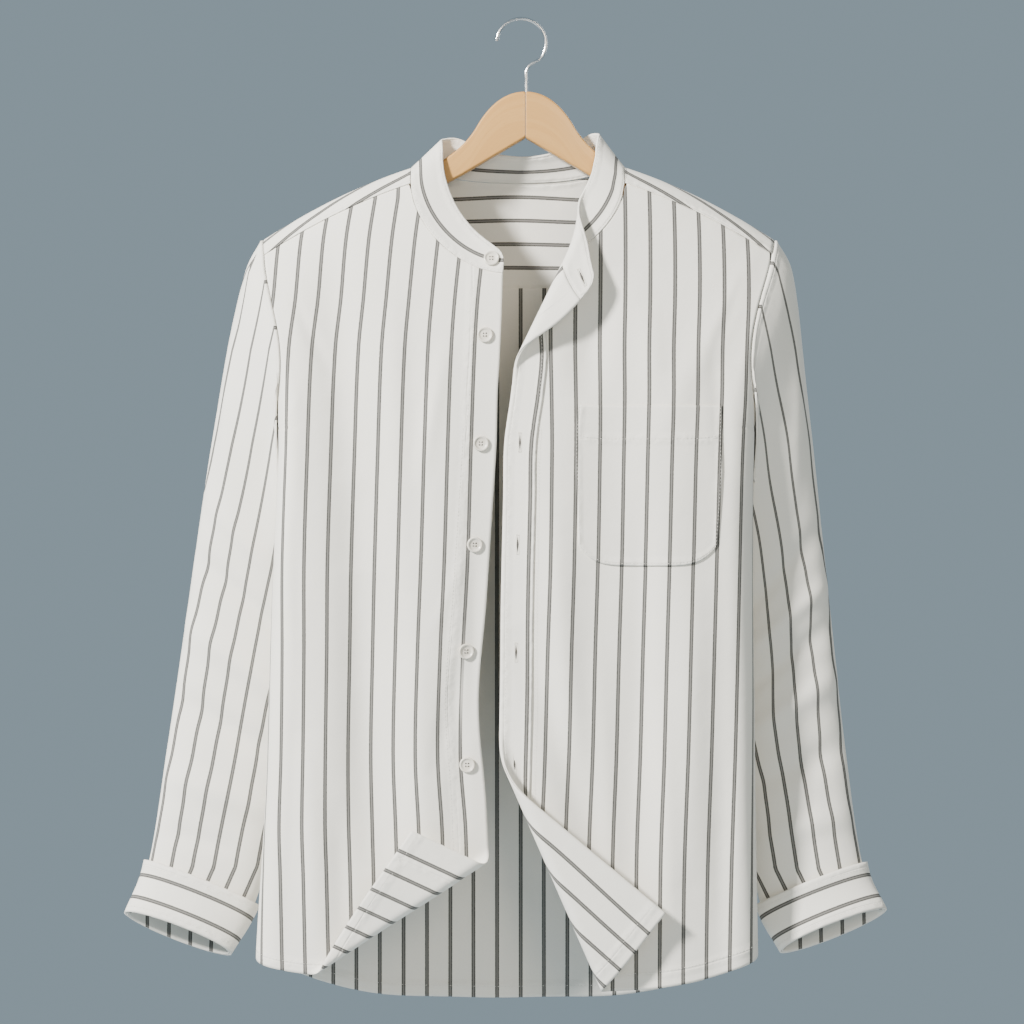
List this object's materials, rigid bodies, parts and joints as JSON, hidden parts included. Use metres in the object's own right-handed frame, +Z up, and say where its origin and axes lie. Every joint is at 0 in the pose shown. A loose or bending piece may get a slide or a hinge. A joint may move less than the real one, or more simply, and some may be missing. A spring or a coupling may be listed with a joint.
{
  "type": "mandarin collar shirt on a hanger",
  "caption": "Long-sleeved striped shirt with a band collar, worn open at the front, chest pocket and turned-up cuffs, hung on a wooden hanger with a wire hook.",
  "frame": {"origin": "underside of the crown of the hanger's hook, the point that rests on a peg or a rail", "axes": "+Z up, +Y from the front of the shirt to its back, +X towards the wearer's left"},
  "size_m": [0.6929, 0.1379, 0.8981],
  "materials": {
    "shirt_cloth": "plain weave cotton with dark pinstripes",
    "button": "satin, four holes",
    "hanger_wood": "clear satin lacquer",
    "hook_steel": "polished"
  },
  "bodies": {
    "root": {"back": "shirt_cloth", "yoke": "shirt_cloth", "front_right": "shirt_cloth", "front_left": "shirt_cloth", "placket_left": "shirt_cloth", "pocket": "shirt_cloth", "collar_band": "shirt_cloth", "sleeve_right": "shirt_cloth", "cuff_right": "shirt_cloth", "hanger_arm_right": "hanger_wood", "sleeve_left": "shirt_cloth", "cuff_left": "shirt_cloth", "hanger_arm_left": "hanger_wood", "hook": "hook_steel", "button_collar": "button", "button_1": "button", "button_2": "button", "button_3": "button", "button_4": "button", "button_5": "button"}
  },
  "joints": []
}
